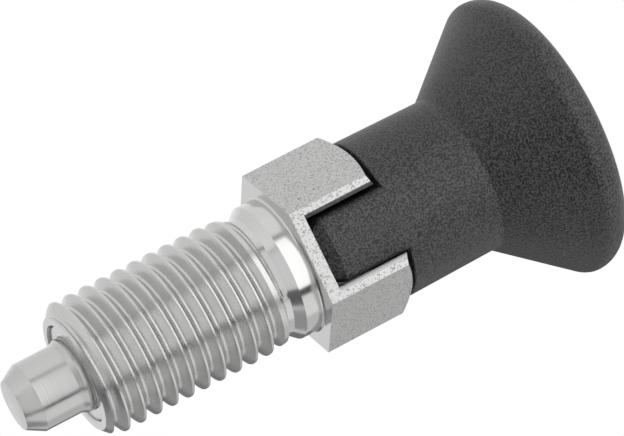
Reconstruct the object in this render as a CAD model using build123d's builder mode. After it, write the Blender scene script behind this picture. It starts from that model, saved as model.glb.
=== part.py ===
from build123d import *
import os
from math import cos, pi, radians, sin, tan

# Indexing plunger, millimetres.
# The axis is Z: the index pin points down and the grip is on top.
# The origin is on the axis, at the hexagon's underside, where the sleeve seats on its plate.

# ---- threaded sleeve, outside ----
thread_d = 12.0             # major diameter of the M12 x 1.5 fine thread
sleeve_reach = 20.0         # hexagon's underside to the front face
front_chamfer = 0.95        # 45 degree lead at the front of the thread
shank_d = 12.0              # plain shank under the hexagon
shank_length = 1.5
relief_d = 10.7             # floor of the groove where the thread runs out
relief_width = 0.5
runout_d = 11.3             # last, half-height turns beside the groove
runout_length = 1.0
hex_flats = 14.0            # across flats
hex_height = 8.0
hex_end_d = 13.6            # circle left on the end by the 30 degree chamfer
hex_chamfer_angle = 30.0
slot_width = 6.15           # slot across the hexagon that takes the grip's tongue
slot_flare = 0.35           # 45 degree chamfer on the slot's long edges at each flat
slot_floor = 1.1            # height of the slot's floor over the underside

# ---- guide bush and the sleeve's bores ----
bush_d = 8.6                # bush outside and its seat in the sleeve
bush_length = 4.0
bush_recess = 0.2           # how far the bush sits behind the front face
bush_edge = 0.2             # small chamfers on the bush
chamber_d = 8.0             # spring chamber
end_wall = 2.7              # steel between the chamber and the slot's floor
seat_edge = 0.12            # broken edge at the mouth of the sleeve

# ---- index pin ----
nose_d = 6.0
nose_reach = 5.6            # how far the pin stands out of the front face
tip_d = 4.35                # flat at the very tip
tip_length = 1.45           # length of the tip cone
guide_d = 6.5               # land that runs in the bush
guide_reach = 0.37          # how far the land stands out of the front face
guide_lead = 0.25           # cone between nose and land
collar_d = 7.6              # collar that stops on the bush
collar_length = 1.2
stem_d = 4.0
stem_edge = 0.4

# ---- spring ----
wire_d = 0.6
spring_d = 7.2              # outside diameter
active_turns = 5
ground_off = 0.15           # taken off each end to make a flat seat
coil_gap = 0.03             # air between a closed end turn and the next one
turn_chords = 16            # straight chords that make one turn of the wire

# ---- grip ----
neck_d = 14.0
neck_height = 8.5           # shoulder to the corner of neck and cone
cone_angle = 38.6           # cone flank, from the axis
grip_d = 25.0
rim_lower_radius = 1.0
rim_upper_radius = 2.0
rim_land = 0.1              # narrow land at the largest diameter
tongue_corner = 0.8         # rounded long edges of the tongue
tongue_end_chamfer = 0.7    # chamfer round the tongue's free end
stem_grip = 17.5            # how deep the stem sits in the grip

# ---- clearances ----
running_gap = 0.03          # radial, pin in bush and stem in end wall
stop_gap = 0.05             # collar to bush, and spring to each of its seats
tongue_gap = 0.24           # tongue to each wall and to the floor of the slot
shoulder_gap = 0.25         # grip's shoulder over the hexagon's end

# ---- heights that follow from the sizes above ----
front_z = -sleeve_reach
bush_front_z = front_z + bush_recess
bush_back_z = bush_front_z + bush_length
chamber_end_z = slot_floor - end_wall
tip_z = front_z - nose_reach
guide_z = front_z - guide_reach
collar_z = bush_back_z + stop_gap
collar_back_z = collar_z + collar_length
spring_low_z = collar_back_z + stop_gap
spring_high_z = chamber_end_z - stop_gap
tongue_z = slot_floor + tongue_gap
shoulder_z = hex_height + shoulder_gap
corner_z = shoulder_z + neck_height
cone_height = (grip_d - neck_d) / 2 / tan(radians(cone_angle))
rim_corner_z = corner_z + cone_height
rim_land_z = rim_corner_z + rim_lower_radius * tan(radians(cone_angle / 2))
rim_top_z = rim_land_z + rim_land + rim_upper_radius
stem_end_z = tongue_z + stem_grip


def turned_sleeve():
    """Half section of the sleeve below the hexagon, open bores included."""
    thread_r, shank_r, relief_r, runout_r = (d / 2 for d in (thread_d, shank_d, relief_d, runout_d))
    shank_z = -shank_length
    groove_top_z = shank_z - (shank_r - relief_r)
    groove_low_z = groove_top_z - relief_width
    runout_top_z = groove_low_z - (runout_r - relief_r)
    runout_low_z = runout_top_z - runout_length
    thread_top_z = runout_low_z - (thread_r - runout_r)
    Polyline(
        (bush_d / 2 + seat_edge, front_z),
        (thread_r - front_chamfer, front_z),
        (thread_r, front_z + front_chamfer),
        (thread_r, thread_top_z),
        (runout_r, runout_low_z),
        (runout_r, runout_top_z),
        (relief_r, groove_low_z),
        (relief_r, groove_top_z),
        (shank_r, shank_z),
        (shank_r, 0),
        (stem_d / 2 + running_gap, 0),
        (stem_d / 2 + running_gap, chamber_end_z),
        (chamber_d / 2, chamber_end_z),
        (chamber_d / 2, bush_back_z),
        (bush_d / 2, bush_back_z),
        (bush_d / 2, front_z + seat_edge),
        close=True,
    )


with BuildPart() as threaded_sleeve:
    with BuildSketch(Plane.XZ):
        with BuildLine():
            turned_sleeve()
        make_face()
    revolve(axis=Axis.Z)
    # hexagon with flats towards +Y and -Y
    with BuildSketch(Plane.XY):
        RegularPolygon(radius=hex_flats / 2, side_count=6, major_radius=False)
        Circle(stem_d / 2 + running_gap, mode=Mode.SUBTRACT)
    extrude(amount=hex_height)
    # 30 degree chamfer round the hexagon's end
    corner_r = hex_flats
    drop = (corner_r - hex_end_d / 2) * tan(radians(hex_chamfer_angle))
    with BuildSketch(Plane.XZ):
        with BuildLine():
            Polyline(
                (hex_end_d / 2, hex_height),
                (corner_r, hex_height),
                (corner_r, hex_height - drop),
                close=True,
            )
        make_face()
    revolve(axis=Axis.Z, mode=Mode.SUBTRACT)
    # slot for the grip's tongue, open at the end and flared where it leaves the flats
    slot_half = slot_width / 2
    flare_y = hex_flats / 2 - slot_flare
    with BuildSketch(Plane.XY.offset(slot_floor)):
        with BuildLine():
            Polyline(
                (slot_half, 0),
                (slot_half, flare_y),
                (slot_half + 2 * slot_flare, flare_y + 2 * slot_flare),
                (-slot_half - 2 * slot_flare, flare_y + 2 * slot_flare),
                (-slot_half, flare_y),
                (-slot_half, 0),
                close=True,
            )
        make_face()
        mirror(about=Plane.XZ)
    extrude(amount=hex_height, mode=Mode.SUBTRACT)
threaded_sleeve.part.label = "threaded_sleeve"

with BuildPart() as guide_bush:
    with BuildSketch(Plane.XY.offset(bush_front_z)):
        Circle(bush_d / 2)
        Circle(guide_d / 2 + running_gap, mode=Mode.SUBTRACT)
    extrude(amount=bush_length)
    outer_rims = guide_bush.edges().filter_by(GeomType.CIRCLE).sort_by(SortBy.RADIUS)[-2:]
    chamfer(outer_rims, bush_edge)
guide_bush.part.label = "guide_bush"

with BuildPart() as index_pin:
    with BuildSketch(Plane.XZ):
        with BuildLine():
            Polyline(
                (0, tip_z),
                (tip_d / 2, tip_z),
                (nose_d / 2, tip_z + tip_length),
                (nose_d / 2, guide_z - guide_lead),
                (guide_d / 2, guide_z),
                (guide_d / 2, collar_z),
                (collar_d / 2, collar_z),
                (collar_d / 2, collar_back_z),
                (stem_d / 2, collar_back_z),
                (stem_d / 2, stem_end_z - stem_edge),
                (stem_d / 2 - stem_edge, stem_end_z),
                (0, stem_end_z),
                close=True,
            )
        make_face()
    revolve(axis=Axis.Z)
index_pin.part.label = "index_pin"

# Wire wound with one closed turn at each end, then ground flat on both seats.
coil_r = (spring_d - wire_d) / 2
coil_low_z = spring_low_z - ground_off + wire_d / 2
coil_high_z = spring_high_z + ground_off - wire_d / 2
closed_pitch = wire_d + coil_gap
active_pitch = (coil_high_z - coil_low_z - 2 * closed_pitch) / active_turns


def wound_points():
    """Points along the wire, from the lower closed turn to the upper one."""
    z = coil_low_z
    points = [(coil_r, 0, z)]
    for pitch, turns in ((closed_pitch, 1), (active_pitch, active_turns), (closed_pitch, 1)):
        for step in range(1, turns * turn_chords + 1):
            angle = 2 * pi * step / turn_chords
            z += pitch / turn_chords
            points.append((coil_r * cos(angle), coil_r * sin(angle), z))
    return points


with BuildPart() as compression_spring:
    with BuildLine() as wire_path:
        Polyline(*wound_points())
    wire = wire_path.wires()[0]
    with BuildSketch(Plane(origin=wire @ 0, z_dir=wire % 0)):
        RegularPolygon(radius=wire_d / 2, side_count=6)
    sweep(path=wire, transition=Transition.RIGHT)
    for seat_z, side in ((spring_low_z, -1), (spring_high_z, 1)):
        with BuildSketch(Plane.XY.offset(seat_z)):
            Circle(spring_d)
        extrude(amount=side * 2 * wire_d, mode=Mode.SUBTRACT)
compression_spring.part.label = "compression_spring"

tongue_width = slot_width - 2 * tongue_gap
with BuildPart() as mushroom_grip:
    # tongue, as wide as the neck and rounded all round
    with BuildSketch(Plane.XY.offset(tongue_z)):
        Circle(neck_d / 2)
        Rectangle(tongue_width, 2 * neck_d, mode=Mode.INTERSECT)
        fillet(vertices(), tongue_corner)
    extrude(amount=shoulder_z - tongue_z)
    chamfer(faces().sort_by(Axis.Z)[0].edges(), tongue_end_chamfer)
    # neck, cone and rounded rim
    with BuildSketch(Plane.XZ):
        with BuildLine():
            Polyline(
                (0, rim_top_z),
                (0, shoulder_z),
                (neck_d / 2, shoulder_z),
                (neck_d / 2, corner_z),
                (grip_d / 2, rim_corner_z),
                (grip_d / 2, rim_top_z),
                close=True,
            )
        make_face()
        rim_corners = vertices().group_by(Axis.X)[-1].sort_by(Axis.Y)
        fillet(rim_corners[0], rim_lower_radius)
        rim_corners = vertices().group_by(Axis.X)[-1].sort_by(Axis.Y)
        fillet(rim_corners[-1], rim_upper_radius)
    revolve(axis=Axis.Z)
    # blind hole that grips the pin's stem
    with BuildSketch(Plane.XY.offset(tongue_z)):
        Circle(stem_d / 2)
    extrude(amount=stem_grip + stop_gap, mode=Mode.SUBTRACT)
mushroom_grip.part.label = "mushroom_grip"

os.makedirs("parts", exist_ok=True)
for piece in (threaded_sleeve, guide_bush, index_pin, compression_spring, mushroom_grip):
    export_step(piece.part, f"parts/{piece.part.label}.step")
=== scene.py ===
from math import atan2, cos, hypot, pi, radians, sin, tan

import bmesh
import bpy
from mathutils import Matrix, Vector


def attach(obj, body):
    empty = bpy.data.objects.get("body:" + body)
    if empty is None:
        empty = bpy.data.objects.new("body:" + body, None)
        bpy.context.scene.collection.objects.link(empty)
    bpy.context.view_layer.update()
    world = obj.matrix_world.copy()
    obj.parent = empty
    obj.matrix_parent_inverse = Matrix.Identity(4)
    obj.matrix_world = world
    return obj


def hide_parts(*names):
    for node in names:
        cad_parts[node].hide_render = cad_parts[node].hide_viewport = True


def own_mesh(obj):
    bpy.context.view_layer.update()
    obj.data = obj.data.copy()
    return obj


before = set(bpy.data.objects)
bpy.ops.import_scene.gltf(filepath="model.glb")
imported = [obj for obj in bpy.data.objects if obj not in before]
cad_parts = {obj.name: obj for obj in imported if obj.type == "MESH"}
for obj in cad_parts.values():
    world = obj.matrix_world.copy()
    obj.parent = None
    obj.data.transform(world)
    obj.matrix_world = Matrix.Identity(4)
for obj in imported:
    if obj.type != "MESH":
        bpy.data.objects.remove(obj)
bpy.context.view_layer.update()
mm = 0.001              # every size below is in millimetres
near = 0.01 * mm        # places closer than this count as the same
merge = 1e-7            # doubles closer than this are joined
print("frame loaded:", ", ".join(sorted(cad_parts)))


def markSharp(mesh, sharpAngle=32):
    # edges over sharpAngle degrees stay crisp, the rest is shaded smooth
    bm = bmesh.new()
    bm.from_mesh(mesh)
    for face in bm.faces:
        face.smooth = True
    for edge in bm.edges:
        edge.smooth = len(edge.link_faces) != 2 or edge.calc_face_angle(0) < radians(sharpAngle)
    bm.to_mesh(mesh)
    bm.free()


def makeObject(name, bm, materials):
    mesh = bpy.data.meshes.new(name)
    bm.to_mesh(mesh)
    bm.free()
    markSharp(mesh)
    for material in materials:
        mesh.materials.append(material)
    piece = bpy.data.objects.new(name, mesh)
    bpy.context.scene.collection.objects.link(piece)
    return piece


def outline(points, corners, segments):
    # open half section of (radius, height) points; corners gives some of them a radius
    bm = bmesh.new()
    verts = [bm.verts.new((r * mm, 0, z * mm)) for r, z in points]
    for low, high in zip(verts, verts[1:]):
        bm.edges.new((low, high))
    for index, radius in corners.items():
        before, here, after = (Vector((*points[index + k], 0)) for k in (-1, 0, 1))
        turn = (here - before).angle(after - here)
        bmesh.ops.bevel(bm, geom=[verts[index]], offset=radius * tan(turn / 2) * mm,
                        segments=segments, profile=0.5, affect="VERTICES", material=-1)
    return bm


def turnRound(bm, steps):
    # a full turn of the half section round the axis
    bmesh.ops.spin(bm, geom=bm.verts[:] + bm.edges[:], cent=(0, 0, 0), axis=(0, 0, 1),
                   dvec=(0, 0, 0), angle=2 * pi, steps=steps, use_merge=True,
                   use_normal_flip=False, use_duplicate=False)
    bmesh.ops.remove_doubles(bm, verts=bm.verts[:], dist=merge)
    bmesh.ops.recalc_face_normals(bm, faces=bm.faces[:])
    return bm


def combine(piece, tool, operation, sharpAngle=32):
    # exact boolean, applied at once; the tool is thrown away
    change = piece.modifiers.new("combine", "BOOLEAN")
    change.operation = operation
    change.object = tool
    change.solver = "EXACT"
    depsgraph = bpy.context.evaluated_depsgraph_get()
    mesh = bpy.data.meshes.new_from_object(piece.evaluated_get(depsgraph))
    piece.modifiers.clear()
    piece.data = mesh
    markSharp(mesh, sharpAngle)
    piece.modifiers.new("evenNormals", "WEIGHTED_NORMAL").keep_sharp = True
    bpy.data.objects.remove(tool)


def addNode(tree, kind, at, **inputs):
    node = tree.nodes.new(kind)
    node.location = at
    for name, value in inputs.items():
        node.inputs[name.replace("_", " ")].default_value = value
    return node


def newMaterial(name, colour, metallic, roughness):
    material = bpy.data.materials.new(name)
    material.use_nodes = True
    tree = material.node_tree
    shader = tree.nodes["Principled BSDF"]
    shader.inputs["Base Color"].default_value = (*colour, 1)
    shader.inputs["Metallic"].default_value = metallic
    shader.inputs["Roughness"].default_value = roughness
    return material, tree, shader


# turned steels: rings are the tool marks that run round the axis
turned = {"colour": (0.62, 0.62, 0.615), "roughness": 0.15,
          "ringsPerMetre": 9000, "ringDepth": 0.0000035}
cutThread = {"colour": (0.60, 0.60, 0.595), "roughness": 0.27,
             "ringsPerMetre": 7000, "ringDepth": 0.000009}
groundPin = {"colour": (0.55, 0.55, 0.545), "roughness": 0.2,
             "ringsPerMetre": 9000, "ringDepth": 0.000005}
springWire = {"colour": (0.50, 0.50, 0.49), "roughness": 0.3,
              "ringsPerMetre": 4000, "ringDepth": 0.000002}
# glossier and duller patches on all of them, as shares of the roughness
patches = {"perMetre": 420.0, "noiseFrom": 0.3, "noiseTo": 0.7, "glossiest": 0.8, "dullest": 1.25}


def ringMarks(tree, perMetre):
    # noise that depends on radius and height only, so it runs round the axis
    place = addNode(tree, "ShaderNodeTexCoord", (-1400, 0))
    split = addNode(tree, "ShaderNodeSeparateXYZ", (-1200, 0))
    tree.links.new(place.outputs["Object"], split.inputs[0])
    flat = addNode(tree, "ShaderNodeCombineXYZ", (-1200, -160))
    tree.links.new(split.outputs["X"], flat.inputs["X"])
    tree.links.new(split.outputs["Y"], flat.inputs["Y"])
    radius = addNode(tree, "ShaderNodeVectorMath", (-1000, -160))
    radius.operation = "LENGTH"
    tree.links.new(flat.outputs[0], radius.inputs[0])
    pair = addNode(tree, "ShaderNodeCombineXYZ", (-800, 0))
    tree.links.new(radius.outputs["Value"], pair.inputs["X"])
    tree.links.new(split.outputs["Z"], pair.inputs["Y"])
    marks = addNode(tree, "ShaderNodeTexNoise", (-600, 0), Scale=perMetre, Detail=3.0,
                    Roughness=0.65)
    tree.links.new(pair.outputs[0], marks.inputs["Vector"])
    return place, marks


def turnedSteel(name, look):
    material, tree, shader = newMaterial(name, look["colour"], 1.0, look["roughness"])
    place, marks = ringMarks(tree, look["ringsPerMetre"])
    bump = addNode(tree, "ShaderNodeBump", (-300, -300), Strength=1.0, Distance=look["ringDepth"])
    tree.links.new(marks.outputs[0], bump.inputs["Height"])
    tree.links.new(bump.outputs[0], shader.inputs["Normal"])
    cloud = addNode(tree, "ShaderNodeTexNoise", (-600, 300), Scale=patches["perMetre"],
                    Detail=4.0, Roughness=0.6)
    tree.links.new(place.outputs["Object"], cloud.inputs["Vector"])
    gloss = addNode(tree, "ShaderNodeMapRange", (-300, 200),
                    From_Min=patches["noiseFrom"], From_Max=patches["noiseTo"],
                    To_Min=look["roughness"] * patches["glossiest"],
                    To_Max=look["roughness"] * patches["dullest"])
    tree.links.new(cloud.outputs[0], gloss.inputs["Value"])
    tree.links.new(gloss.outputs[0], shader.inputs["Roughness"])
    return material


# bar stock as it comes: satin, with small dark pits
speckled = {
    "light": (0.56, 0.56, 0.555),
    "dark": (0.27, 0.27, 0.27),
    "darkUpTo": 0.34,           # share of the noise that is all dark
    "lightFrom": 0.46,          # and where it is all light
    "roughness": 0.4,
    "perMetre": 7500,
    "detail": 1.0,
    "depth": 0.000004,
    "bump": 1.0,
}

# spark-eroded mould grain on black polyamide
moulded = {
    "light": (0.070, 0.070, 0.071),
    "dark": (0.005, 0.005, 0.0053),
    "darkUpTo": 0.38,
    "lightFrom": 0.62,
    "roughness": 0.46,
    "perMetre": 6400,
    "detail": 0.3,
    "depth": 0.00006,
    "bump": 0.8,
}


def grainedFinish(name, look, metallic):
    # one noise that both colours and dents the surface
    material, tree, shader = newMaterial(name, look["light"], metallic, look["roughness"])
    place = addNode(tree, "ShaderNodeTexCoord", (-1400, 0))
    grain = addNode(tree, "ShaderNodeTexNoise", (-1000, 0), Scale=look["perMetre"],
                    Detail=look["detail"], Roughness=0.5)
    tree.links.new(place.outputs["Object"], grain.inputs["Vector"])
    ramp = addNode(tree, "ShaderNodeValToRGB", (-700, 150))
    stops = ramp.color_ramp.elements
    stops[0].position = look["darkUpTo"]
    stops[0].color = (*look["dark"], 1)
    stops[1].position = look["lightFrom"]
    stops[1].color = (*look["light"], 1)
    tree.links.new(grain.outputs[0], ramp.inputs[0])
    tree.links.new(ramp.outputs[0], shader.inputs["Base Color"])
    bump = addNode(tree, "ShaderNodeBump", (-300, -300), Strength=look["bump"],
                   Distance=look["depth"])
    tree.links.new(grain.outputs[0], bump.inputs["Height"])
    tree.links.new(bump.outputs[0], shader.inputs["Normal"])
    return material


steel = turnedSteel("turnedSteel", turned)
barSteel = grainedFinish("speckledSteel", speckled, 1.0)
threadSteel = turnedSteel("cutThreadSteel", cutThread)
pinSteel = turnedSteel("groundPinSteel", groundPin)
springSteel = turnedSteel("springSteel", springWire)
plastic = grainedFinish("mouldedPlastic", moulded, 0.0)
print("finishes made")


thread = {
    "major": 11.96,             # diameter over the crests
    "root": 10.16,
    "pitch": 1.5,
    "flankAngle": 30,
    "crestFlat": 0.19,
    "crestRound": 0.05,
    "rootRound": 0.17,
    "roundSegments": 4,
    "start": -22.005,           # height of a groove's middle towards +X, below the front
    "turns": 14,
    "stepsPerTurn": 96,
    "cutterReach": 6.7,         # radius, outside the work
    "fadeFrom": -3.0,           # the groove gets shallower from here up
    "fadeRate": 0.9,            # by this much for each millimetre
}


def threadCutter(size):
    # one groove section with half a crest on each side, wound up the axis
    major, root, outer = size["major"] / 2, size["root"] / 2, size["cutterReach"]
    half = size["pitch"] / 2
    crest = half - size["crestFlat"] / 2
    flank = (major - root) * tan(radians(size["flankAngle"]))
    points = [(outer, -half), (major, -half), (major, -crest), (root, -(crest - flank)),
              (root, crest - flank), (major, crest), (major, half), (outer, half)]
    corners = {2: size["crestRound"], 3: size["rootRound"],
               4: size["rootRound"], 5: size["crestRound"]}
    bm = outline(points, corners, size["roundSegments"])
    ends = [v for v in bm.verts if v.co.x > outer * mm - near]
    bm.edges.new(ends)
    bmesh.ops.contextual_create(bm, geom=bm.edges[:])
    bmesh.ops.translate(bm, verts=bm.verts[:], vec=(0, 0, size["start"] * mm))
    steps = size["turns"] * size["stepsPerTurn"]
    bmesh.ops.spin(bm, geom=bm.verts[:] + bm.edges[:] + bm.faces[:], cent=(0, 0, 0),
                   axis=(0, 0, 1), dvec=(0, 0, size["pitch"] * mm / size["stepsPerTurn"]),
                   angle=2 * pi * size["turns"], steps=steps, use_merge=False,
                   use_normal_flip=False, use_duplicate=False)
    bmesh.ops.remove_doubles(bm, verts=bm.verts[:], dist=merge)

    def outerCount(face):
        return sum(hypot(v.co.x, v.co.y) > outer * mm - near for v in face.verts)

    def innerCount(face):
        return sum(hypot(v.co.x, v.co.y) < major * mm + near for v in face.verts)

    # neighbouring turns share a wall, which goes
    walls = [f for f in bm.faces if any(len(e.link_faces) > 2 for e in f.edges)
             and outerCount(f) == 2 and innerCount(f) == 2]
    bmesh.ops.delete(bm, geom=walls, context="FACES")
    widest = outer * 0.99 * mm
    for v in bm.verts:          # run-out: the tool backs away from the work
        radius = hypot(v.co.x, v.co.y)
        lift = (v.co.z - size["fadeFrom"] * mm) * size["fadeRate"]
        if lift > 0 and radius < widest:
            moved = min(radius + lift, widest)
            v.co.x *= moved / radius
            v.co.y *= moved / radius
    bmesh.ops.recalc_face_normals(bm, faces=bm.faces[:])
    return makeObject("threadCutter", bm, [])


sleeve = {
    "flats": 14.0,
    "shank": 6.0,
    "shankFillet": 0.2,         # under the hexagon
    "filletSegments": 5,
    "levelWithin": 0.6,         # degrees; triangles this level become one face
    "cutBelow": -2.9,           # the cut thread is duller than the shank
    "cutOutside": 5,            # radius, so the bore keeps the turned finish
    "sharpAngle": 24,
    "runOut": [                 # turned rings beside the thread's end: blank, then finished
        ((6.0, -4.3), (6.0, -5.2)),
        ((5.65, -3.95), (5.84, -4.1)),
        ((5.65, -2.95), (5.70, -3.15)),
        ((5.35, -2.65), (5.20, -2.90)),
        ((5.35, -2.15), (5.32, -2.40)),
        ((5.675, -1.825), (5.66, -2.01)),
        ((6.0, -1.5), (6.0, -1.62)),
    ],
}


def onRing(vert, radius, height):
    return (abs(hypot(vert.co.x, vert.co.y) - radius * mm) < near
            and abs(vert.co.z - height * mm) < near)


def turnRunOut(bm, rings):
    # each ring of the blank goes to its finished radius and height
    for (radius, height), (newRadius, newHeight) in rings:
        scale = newRadius / radius
        for v in bm.verts:
            if onRing(v, radius, height):
                v.co = (v.co.x * scale, v.co.y * scale, newHeight * mm)


def paintSleeve(mesh, size):
    # 0 turned, 1 bar stock on the flats, 2 the cut thread
    flatAt = size["flats"] / 2 * mm
    for face in mesh.polygons:
        side = hypot(face.normal.x, face.normal.y)
        outward = face.normal.x * face.center.x + face.normal.y * face.center.y
        upright = side > 0.99 and face.center.z > 0
        onFlat = upright and abs(outward / side - flatAt) < 3 * near
        cut = (face.center.z < size["cutBelow"] * mm
               and hypot(face.center.x, face.center.y) > size["cutOutside"] * mm)
        face.material_index = 1 if onFlat else 2 if cut else 0
    mesh.update()


def threadedSleeve(size):
    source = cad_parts["threaded_sleeve"]
    bm = bmesh.new()
    bm.from_mesh(source.data)
    bmesh.ops.remove_doubles(bm, verts=bm.verts[:], dist=10 * merge)    # its triangles are loose
    turnRunOut(bm, size["runOut"])
    bmesh.ops.dissolve_limit(bm, angle_limit=radians(size["levelWithin"]), verts=bm.verts[:],
                             edges=bm.edges[:], use_dissolve_boundaries=False)
    corner = [e for e in bm.edges if all(onRing(v, size["shank"], 0) for v in e.verts)]
    bmesh.ops.bevel(bm, geom=corner, offset=size["shankFillet"] * mm,
                    segments=size["filletSegments"], profile=0.5, affect="EDGES", material=-1)
    piece = makeObject("threadedSleeve", bm, [steel, barSteel, threadSteel])
    combine(piece, threadCutter(thread), "DIFFERENCE", size["sharpAngle"])
    paintSleeve(piece.data, size)
    return piece


sleevePiece = threadedSleeve(sleeve)
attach(sleevePiece, "sleeve")
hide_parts("threaded_sleeve")
print("threaded sleeve made:", len(sleevePiece.data.polygons), "faces")


bush = {
    "outer": 8.6, "bore": 6.56, "front": -19.8, "back": -15.8,
    "edge": 0.2, "boreEdge": 0.06, "roundSegments": 3, "steps": 128,
    "seam": -17.6,              # the section starts and ends here, in the bore
}


def guideBush(size):
    outer, bore = size["outer"] / 2, size["bore"] / 2
    points = [(bore, size["seam"]), (bore, size["front"]), (outer, size["front"]),
              (outer, size["back"]), (bore, size["back"]), (bore, size["seam"])]
    corners = {1: size["boreEdge"], 2: size["edge"], 3: size["edge"], 4: size["boreEdge"]}
    bm = outline(points, corners, size["roundSegments"])
    bmesh.ops.remove_doubles(bm, verts=bm.verts[:], dist=merge)
    return makeObject("guideBush", turnRound(bm, size["steps"]), [steel])


bushPiece = guideBush(bush)
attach(bushPiece, "sleeve")
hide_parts("guide_bush")


pin = {
    "tip": -25.6, "tipRadius": 2.175, "tipEdge": 0.05,
    "shoulder": -24.15, "nose": 3.0, "shoulderEdge": 0.12,
    "leadFrom": -20.78, "leadTo": -20.34, "guide": 3.25, "leadEdge": 0.04,
    "collarFrom": -15.75, "collarTo": -14.55, "collar": 3.8, "collarEdge": 0.08,
    "stem": 2.0, "end": 18.84, "endChamfer": 0.4,
    "roundSegments": 4, "steps": 128,
}


def indexPin(size):
    points = [(0, size["tip"]), (size["tipRadius"], size["tip"]),
              (size["nose"], size["shoulder"]), (size["nose"], size["leadFrom"]),
              (size["guide"], size["leadTo"]), (size["guide"], size["collarFrom"]),
              (size["collar"], size["collarFrom"]), (size["collar"], size["collarTo"]),
              (size["stem"], size["collarTo"]),
              (size["stem"], size["end"] - size["endChamfer"]),
              (size["stem"] - size["endChamfer"], size["end"]), (0, size["end"])]
    corners = {1: size["tipEdge"], 2: size["shoulderEdge"], 3: size["leadEdge"],
               4: size["leadEdge"], 6: size["collarEdge"], 7: size["collarEdge"]}
    bm = outline(points, corners, size["roundSegments"])
    return makeObject("indexPin", turnRound(bm, size["steps"]), [pinSteel])


pinPiece = indexPin(pin)
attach(pinPiece, "plunger")
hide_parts("index_pin")
print("pin and bush made")


spring = {
    "wire": 0.6, "outer": 7.2, "low": -14.5, "high": -1.65,
    "ground": 0.15,             # taken off each end
    "closedPitch": 0.63, "activeTurns": 5,
    "stepsPerTurn": 40, "wireSegments": 16,
    "keep": 0.4397,             # of its length, at the full pull
}


def compressionSpring(size):
    radius = (size["outer"] - size["wire"]) / 2
    low = size["low"] - size["ground"] + size["wire"] / 2
    high = size["high"] + size["ground"] - size["wire"] / 2
    closed = size["closedPitch"]
    activePitch = (high - low - 2 * closed) / size["activeTurns"]
    bm = bmesh.new()
    place = Matrix.Translation((radius * mm, 0, low * mm)) @ Matrix.Rotation(pi / 2, 4, "X")
    bmesh.ops.create_circle(bm, cap_ends=True, segments=size["wireSegments"],
                            radius=size["wire"] / 2 * mm, matrix=place)
    last = bm.verts[:] + bm.edges[:] + bm.faces[:]
    for pitch, turns in ((closed, 1), (activePitch, size["activeTurns"]), (closed, 1)):
        wound = bmesh.ops.spin(bm, geom=last, cent=(0, 0, 0), axis=(0, 0, 1),
                               angle=2 * pi * turns,
                               dvec=(0, 0, pitch * mm / size["stepsPerTurn"]),
                               steps=turns * size["stepsPerTurn"], use_merge=False,
                               use_normal_flip=False, use_duplicate=False)
        last = wound["geom_last"]
    bmesh.ops.remove_doubles(bm, verts=bm.verts[:], dist=merge)
    inner = [f for f in bm.faces
             if len(f.verts) > 4 and all(len(e.link_faces) > 2 for e in f.edges)]
    bmesh.ops.delete(bm, geom=inner, context="FACES_ONLY")
    for seat, side in ((size["low"], -1), (size["high"], 1)):
        cut = bmesh.ops.bisect_plane(bm, geom=bm.verts[:] + bm.edges[:] + bm.faces[:],
                                     dist=1e-8, plane_co=(0, 0, seat * mm),
                                     plane_no=(0, 0, side), clear_outer=True)
        rim = [e for e in cut["geom_cut"] if isinstance(e, bmesh.types.BMEdge)]
        bmesh.ops.holes_fill(bm, edges=rim, sides=0)
    bmesh.ops.recalc_face_normals(bm, faces=bm.faces[:])
    return makeObject("compressionSpring", bm, [springSteel])


springPiece = compressionSpring(spring)
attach(springPiece, "sleeve")
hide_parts("compression_spring")
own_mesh(springPiece)
print("spring made")


grip = {
    "shoulder": 8.2, "neck": 7.04, "corner": 16.75, "neckTop": 6.92,
    "rimCorner": 23.64, "radius": 12.5, "top": 26.09,
    "shoulderRound": 0.12, "cornerRound": 0.5, "rimLower": 1.0, "rimUpper": 2.0,
    "roundSegments": 10, "steps": 160,
    "tongueEnd": 1.34, "tongueHalf": 2.835, "tongueSide": 0.75, "tongueNose": 0.75,
    "tongueTip": 0.06,          # corner radius of the free end
    "tongueCornerSteps": 8, "tongueBowSteps": 12,
    "tongueFlush": 0.006,       # set back from the neck, so no two faces coincide
    "tongueSlope": 0.92,        # height of the chamfer at its free end
    "tongueRoot": 0.4,          # how far it goes up into the neck
    "tongueTurn": 1.9,          # degrees that the grip has turned in its slot
}


def gripBody(size):
    points = [(0, size["shoulder"]), (size["neck"], size["shoulder"]),
              (size["neckTop"], size["corner"]), (size["radius"], size["rimCorner"]),
              (size["radius"], size["top"]), (0, size["top"])]
    corners = {1: size["shoulderRound"], 2: size["cornerRound"],
               3: size["rimLower"], 4: size["rimUpper"]}
    bm = outline(points, corners, size["roundSegments"])
    return makeObject("mushroomGrip", turnRound(bm, size["steps"]), [plastic])


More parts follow.
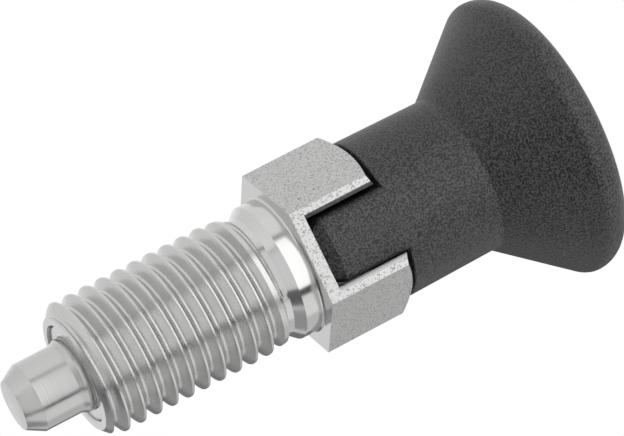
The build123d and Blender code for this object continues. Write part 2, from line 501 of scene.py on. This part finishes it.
def tongueOutline(bm, size, half, bow, corner, height):
    # quarter outline of spun arcs, mirrored twice
    centreX = half - corner
    centreY = ((bow - corner) ** 2 - centreX ** 2) ** 0.5
    lean = atan2(centreX, centreY)
    low = height * mm
    others = set(bm.verts)
    start = bm.verts.new((half * mm, 0, low))
    side = bm.verts.new((half * mm, centreY * mm, low))
    bm.edges.new((start, side))
    turned = bmesh.ops.spin(bm, geom=[side], cent=(centreX * mm, centreY * mm, low),
                            axis=(0, 0, 1), dvec=(0, 0, 0), angle=pi / 2 - lean,
                            steps=size["tongueCornerSteps"], use_merge=False,
                            use_normal_flip=False, use_duplicate=False)
    bmesh.ops.spin(bm, geom=turned["geom_last"], cent=(0, 0, low), axis=(0, 0, 1),
                   dvec=(0, 0, 0), angle=lean, steps=size["tongueBowSteps"], use_merge=False,
                   use_normal_flip=False, use_duplicate=False)
    for axis in ("X", "Y"):
        ring = [v for v in bm.verts if v not in others]
        edges = [e for e in bm.edges if e.verts[0] in ring]
        bmesh.ops.mirror(bm, geom=ring + edges, matrix=Matrix.Identity(4), merge_dist=-1,
                         axis=axis)
        ring = [v for v in bm.verts if v not in others]
        bmesh.ops.remove_doubles(bm, verts=ring, dist=merge)
    return [e for e in bm.edges if e.verts[0] not in others]


def gripTongue(size):
    # chamfered free end, then straight up into the neck
    nose = size["tongueNose"]
    half, bow = size["tongueHalf"], size["neck"] - size["tongueFlush"]
    top = size["shoulder"] + size["shoulderRound"] + size["tongueRoot"]
    bm = bmesh.new()
    end = tongueOutline(bm, size, half - nose, bow - nose, size["tongueTip"], size["tongueEnd"])
    wide = tongueOutline(bm, size, half, bow, size["tongueSide"],
                         size["tongueEnd"] + size["tongueSlope"])
    high = tongueOutline(bm, size, half, bow, size["tongueSide"], top)
    bmesh.ops.bridge_loops(bm, edges=end + wide)
    bmesh.ops.bridge_loops(bm, edges=wide + high)
    bmesh.ops.contextual_create(bm, geom=end)
    bmesh.ops.contextual_create(bm, geom=high)
    bmesh.ops.rotate(bm, verts=bm.verts[:], cent=(0, 0, 0),
                     matrix=Matrix.Rotation(radians(size["tongueTurn"]), 3, "Z"))
    bmesh.ops.recalc_face_normals(bm, faces=bm.faces[:])
    return makeObject("tongue", bm, [plastic])


gripPiece = gripBody(grip)
combine(gripPiece, gripTongue(grip), "UNION")
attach(gripPiece, "plunger")
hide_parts("mushroom_grip")
print("grip made:", len(gripPiece.data.polygons), "faces")


studio = {
    "camera": (-27.4775, -314.8287, -94.3556),
    "turn": (124.0409, -57.9813, -34.3601),
    "sensor": 36,
    "lens": 232.11,
    "floor": -430,
    "floorHalf": 3000,
    "floorPaint": (0.9, 0.9, 0.9),
    "floorLift": 0.5,           # glow of the floor, where it is seen
    "fill": 0.35,               # world light that reaches the object
}

# soft box and cards: azimuth, elevation, distance, width, height, then how bright each looks;
# azimuth 0 is straight in front of the slotted flat, 90 is to its right
frontBox = (-1, 20, 500, 890, 500, 1.6)
cards = {
    "frontBack": (-1, 20, 515, 916, 515, 0.0),      # hides the world behind the soft box
    "rightStrip": (47, 20, 380, 80, 500, 0.02),
    "leftStrip": (-49, 20, 380, 60, 500, 0.4),
    "noseCard": (-6, 1, 100, 230, 24, 0.7),
    "leftWall": (-125, 15, 450, 560, 500, 0.95),
    "rightWall": (118, 15, 450, 364, 500, 0.7),
    "rightBack": (157, 15, 450, 258, 500, 0.2),
    "lowRight": (130, -37, 430, 420, 330, 0.4),
    "lowFront": (15, -42, 380, 500, 150, 0.02),
    "underFront": (15, -72, 400, 420, 270, 0.3),
    "lowSide": (95, -58, 390, 330, 180, 0.14),
    "reliefCard": (5, -61, 64, 60, 22, 0.9),        # lights the relief behind the thread
}


def makeCamera(size):
    data = bpy.data.cameras.new("camera")
    data.sensor_width = size["sensor"]
    data.lens = size["lens"]
    data.clip_start = 0.01
    data.clip_end = 50
    camera = bpy.data.objects.new("camera", data)
    camera.location = [c * mm for c in size["camera"]]
    camera.rotation_euler = [radians(a) for a in size["turn"]]
    bpy.context.scene.collection.objects.link(camera)
    bpy.context.scene.camera = camera


def seenDirectly(tree, otherwise, seen):
    # one strength for camera, glossy and transmission rays, another for the rest
    rays = addNode(tree, "ShaderNodeLightPath", (-1000, 0))
    either = addNode(tree, "ShaderNodeMath", (-800, 0))
    either.operation = "MAXIMUM"
    tree.links.new(rays.outputs["Is Camera Ray"], either.inputs[0])
    tree.links.new(rays.outputs["Is Glossy Ray"], either.inputs[1])
    each = addNode(tree, "ShaderNodeMath", (-600, 0))
    each.operation = "MAXIMUM"
    tree.links.new(either.outputs[0], each.inputs[0])
    tree.links.new(rays.outputs["Is Transmission Ray"], each.inputs[1])
    level = addNode(tree, "ShaderNodeMapRange", (-400, 0), To_Min=otherwise, To_Max=seen)
    tree.links.new(each.outputs[0], level.inputs["Value"])
    return level


def makeWorld(size):
    world = bpy.data.worlds.new("studioWorld")
    bpy.context.scene.world = world
    world.use_nodes = True
    tree = world.node_tree
    background = tree.nodes["Background"]
    background.inputs["Color"].default_value = (1, 1, 1, 1)
    level = seenDirectly(tree, size["fill"], 1.0)
    tree.links.new(level.outputs[0], background.inputs["Strength"])


def makeFloor(size):
    # pale where the camera and the steel see it, and it still takes a shadow
    bm = bmesh.new()
    bmesh.ops.create_grid(bm, x_segments=1, y_segments=1, size=size["floorHalf"] * mm,
                          matrix=Matrix.Translation((0, 0, size["floor"] * mm)))
    material, tree, shader = newMaterial("floorPaint", size["floorPaint"], 0.0, 0.8)
    shader.inputs["Emission Color"].default_value = (1, 1, 1, 1)
    level = seenDirectly(tree, 0.0, size["floorLift"])
    tree.links.new(level.outputs[0], shader.inputs["Emission Strength"])
    makeObject("floor", bm, [material])


def around(azimuth, elevation, distance):
    flat = distance * cos(radians(elevation))
    return Vector((flat * sin(radians(azimuth)), -flat * cos(radians(azimuth)),
                   distance * sin(radians(elevation)))) * mm


def softBox(name, at, width, height, glow):
    # a glow of 1 looks white
    data = bpy.data.lights.new(name, "AREA")
    data.shape = "RECTANGLE"
    data.size = width * mm
    data.size_y = height * mm
    data.energy = glow * pi * width * height * mm * mm
    lamp = bpy.data.objects.new(name, data)
    lamp.location = at
    lamp.rotation_euler = (-at).to_track_quat("-Z", "Y").to_euler()
    lamp.visible_camera = False
    bpy.context.scene.collection.objects.link(lamp)


def greyCard(name, at, width, height, tone):
    # card that only shows in the steel and the plastic, turned to face the plunger
    bm = bmesh.new()
    place = Matrix.Translation(at) @ (-at).to_track_quat("Z", "Y").to_matrix().to_4x4()
    bmesh.ops.create_grid(bm, x_segments=1, y_segments=1, size=0.5 * mm,
                          matrix=place @ Matrix.Diagonal((width, height, 1, 1)))
    material, tree, shader = newMaterial(name + "Paint", (0, 0, 0), 0.0, 1.0)
    shader.inputs["Specular IOR Level"].default_value = 0
    shader.inputs["Emission Color"].default_value = (1, 1, 1, 1)
    shader.inputs["Emission Strength"].default_value = tone
    card = makeObject(name, bm, [material])
    card.visible_camera = False
    card.visible_diffuse = False
    card.visible_shadow = False


makeCamera(studio)
makeWorld(studio)
makeFloor(studio)
softBox("frontBox", around(*frontBox[:3]), *frontBox[3:])
for name, card in cards.items():
    greyCard(name, around(*card[:3]), *card[3:])
scene = bpy.context.scene
scene.view_settings.view_transform = "Standard"
